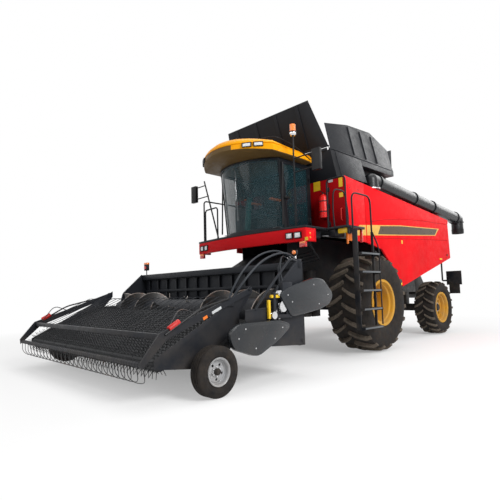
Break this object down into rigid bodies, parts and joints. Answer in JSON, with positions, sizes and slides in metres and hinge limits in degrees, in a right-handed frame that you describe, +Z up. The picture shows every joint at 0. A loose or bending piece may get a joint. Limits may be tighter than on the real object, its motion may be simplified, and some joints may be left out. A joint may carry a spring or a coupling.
{
  "type": "combine harvester with belt pickup header",
  "caption": "Self-propelled grain harvester with a belt pickup header, swinging unloading tube, folding tank flaps, steered rear wheels and a glazed cab.",
  "frame": {"origin": "middle of the bounding box's base, on the ground", "axes": "+Z up, -Y the way the machine drives, +X its left side with the ladder and unloading tube"},
  "size_m": [4.58, 10.9959, 4.9212],
  "materials": {
    "red_paint": "gloss",
    "yellow_paint": "gloss",
    "black_paint": "satin",
    "header_paint": "satin",
    "silver_paint": "gloss",
    "galvanised": "satin",
    "worn_steel": "satin",
    "engine_iron": "matte",
    "rod_chrome": "gloss",
    "tyre_rubber": "matte",
    "belt_rubber": "matte",
    "black_plastic": "matte",
    "interior_plastic": "matte",
    "lamp_lens": "gloss",
    "cab_glass": "gloss"
  },
  "bodies": {
    "chassis": {"chassis_frame": "black_paint", "front_axle": "black_paint", "rear_axle": "black_paint", "threshing_housing": "red_paint", "cleaning_shoe": "galvanised", "body_frame": "black_paint", "front_wall": "red_paint", "rear_hood": "red_paint", "engine_block": "engine_iron", "chopper": "black_paint", "grain_tank": "galvanised", "tank_rim": "black_paint", "platform": "black_paint", "bumper": "red_paint", "cab_shell": "black_paint", "cab_glass": "cab_glass", "cab_roof": "yellow_paint", "cab_interior": "interior_plastic", "mirrors": "black_plastic", "handrails": "black_paint", "extinguisher": "red_paint", "tail_boards": "black_paint", "work_lamps": "lamp_lens"},
    "front_wheel_left": {"front_tyre_left": "tyre_rubber", "front_rim_left": "yellow_paint"},
    "front_wheel_right": {"front_tyre_right": "tyre_rubber", "front_rim_right": "yellow_paint"},
    "knuckle_left": {"knuckle_left": "black_paint"},
    "knuckle_right": {"knuckle_right": "black_paint"},
    "rear_wheel_left": {"rear_tyre_left": "tyre_rubber", "rear_rim_left": "yellow_paint"},
    "rear_wheel_right": {"rear_tyre_right": "tyre_rubber", "rear_rim_right": "yellow_paint"},
    "side_panel_left": {"side_panel_left": "red_paint"},
    "side_panel_right": {"side_panel_right": "red_paint"},
    "flap_front": {"flap_front": "black_paint"},
    "flap_rear": {"flap_rear": "black_paint"},
    "flap_left": {"flap_left": "black_paint"},
    "flap_right": {"flap_right": "black_paint"},
    "cab_door": {"cab_door": "black_paint", "cab_door_glass": "cab_glass"},
    "ladder": {"ladder": "black_paint"},
    "unload_tube": {"unload_tube": "black_paint"},
    "header": {"feeder_house": "black_paint", "header_frame": "header_paint", "pickup_deck": "header_paint", "pickup_belts": "belt_rubber"},
    "header_auger": {"header_auger": "worn_steel"},
    "gauge_wheel_left": {"gauge_tyre_left": "tyre_rubber", "gauge_rim_left": "silver_paint"},
    "gauge_wheel_right": {"gauge_tyre_right": "tyre_rubber", "gauge_rim_right": "silver_paint"},
    "hold_down": {"hold_down": "header_paint"},
    "lift_barrels": {"lift_barrels": "black_paint"},
    "lift_rods": {"lift_rods": "rod_chrome"}
  },
  "joints": [
    {"name": "front_wheel_left_roll", "type": "hinge", "parent": "chassis", "child": "front_wheel_left", "pos_m": [1.61, -0.225, 0.93], "axis": [1, 0, 0], "continuous": true},
    {"name": "front_wheel_right_roll", "type": "hinge", "parent": "chassis", "child": "front_wheel_right", "pos_m": [-1.61, -0.225, 0.93], "axis": [1, 0, 0], "continuous": true},
    {"name": "steer_left", "type": "hinge", "parent": "chassis", "child": "knuckle_left", "pos_m": [1.01, 3.505, 0.675], "axis": [0, 0, 1], "range_deg": [-35, 35]},
    {"name": "steer_right", "type": "hinge", "parent": "chassis", "child": "knuckle_right", "pos_m": [-1.01, 3.505, 0.675], "axis": [0, 0, 1], "range_deg": [-35, 35]},
    {"name": "rear_wheel_left_roll", "type": "hinge", "parent": "knuckle_left", "child": "rear_wheel_left", "pos_m": [1.36, 3.505, 0.675], "axis": [1, 0, 0], "continuous": true},
    {"name": "rear_wheel_right_roll", "type": "hinge", "parent": "knuckle_right", "child": "rear_wheel_right", "pos_m": [-1.36, 3.505, 0.675], "axis": [1, 0, 0], "continuous": true},
    {"name": "side_panel_left_open", "type": "hinge", "parent": "chassis", "child": "side_panel_left", "pos_m": [1.566, -0.063, 3.34368], "axis": [0, -0.997, 0.0778], "range_deg": [0, 50]},
    {"name": "side_panel_right_open", "type": "hinge", "parent": "chassis", "child": "side_panel_right", "pos_m": [-1.566, -0.063, 3.34368], "axis": [0, 0.997, -0.0778], "range_deg": [0, 50]},
    {"name": "flap_front_close", "type": "hinge", "parent": "chassis", "child": "flap_front", "pos_m": [0, -0.985, 4.025], "axis": [-1, 0, 0], "range_deg": [0, 108]},
    {"name": "flap_rear_close", "type": "hinge", "parent": "chassis", "child": "flap_rear", "pos_m": [0, 1.575, 4.025], "axis": [1, 0, 0], "range_deg": [0, 116]},
    {"name": "flap_left_close", "type": "hinge", "parent": "chassis", "child": "flap_left", "pos_m": [1.404, 0.295, 3.972], "axis": [0, -1, 0], "range_deg": [0, 78]},
    {"name": "flap_right_close", "type": "hinge", "parent": "chassis", "child": "flap_right", "pos_m": [-1.404, 0.295, 3.972], "axis": [0, 1, 0], "range_deg": [0, 78]},
    {"name": "cab_door_open", "type": "hinge", "parent": "chassis", "child": "cab_door", "pos_m": [0.872, -0.987, 3], "axis": [0, 0, 1], "range_deg": [0, 75]},
    {"name": "ladder_swing", "type": "hinge", "parent": "chassis", "child": "ladder", "pos_m": [2.01, -1.335, 2.24], "axis": [0, 0, -1], "range_deg": [0, 90]},
    {"name": "unload_tube_swing", "type": "hinge", "parent": "chassis", "child": "unload_tube", "pos_m": [1.44, 0.475, 3.362], "axis": [0, 0, -1], "range_deg": [0, 98]},
    {"name": "header_lift", "type": "hinge", "parent": "chassis", "child": "header", "pos_m": [0, -1.225, 1.8], "axis": [-1, 0, 0], "range_deg": [0, 17]},
    {"name": "lift_barrel_turn", "type": "hinge", "parent": "chassis", "child": "lift_barrels", "pos_m": [0, -0.445, 0.69], "axis": [-1, 0, 0], "range_deg": [0, 9.3]},
    {"name": "lift_rod_slide", "type": "slide", "parent": "lift_barrels", "child": "lift_rods", "axis": [0, -0.999, 0.0437], "range_m": [0, 0.2998]},
    {"name": "header_auger_spin", "type": "hinge", "parent": "header", "child": "header_auger", "pos_m": [0, -3.485, 0.9], "axis": [1, 0, 0], "continuous": true},
    {"name": "gauge_wheel_left_roll", "type": "hinge", "parent": "header", "child": "gauge_wheel_left", "pos_m": [2.195, -4.635, 0.295], "axis": [1, 0, 0], "continuous": true},
    {"name": "gauge_wheel_right_roll", "type": "hinge", "parent": "header", "child": "gauge_wheel_right", "pos_m": [-2.195, -4.635, 0.295], "axis": [1, 0, 0], "continuous": true},
    {"name": "hold_down_lift", "type": "hinge", "parent": "header", "child": "hold_down", "pos_m": [0, -3.875, 1.23], "axis": [-1, 0, 0], "range_deg": [0, 25]}
  ],
  "couplings": [
    {"joint": "steer_right", "follows": "steer_left", "ratio": 1},
    {"joint": "lift_barrel_turn", "follows": "header_lift", "ratio": 0.5412},
    {"joint": "lift_rod_slide", "follows": "header_lift", "m_per_rad": 1.0037}
  ]
}
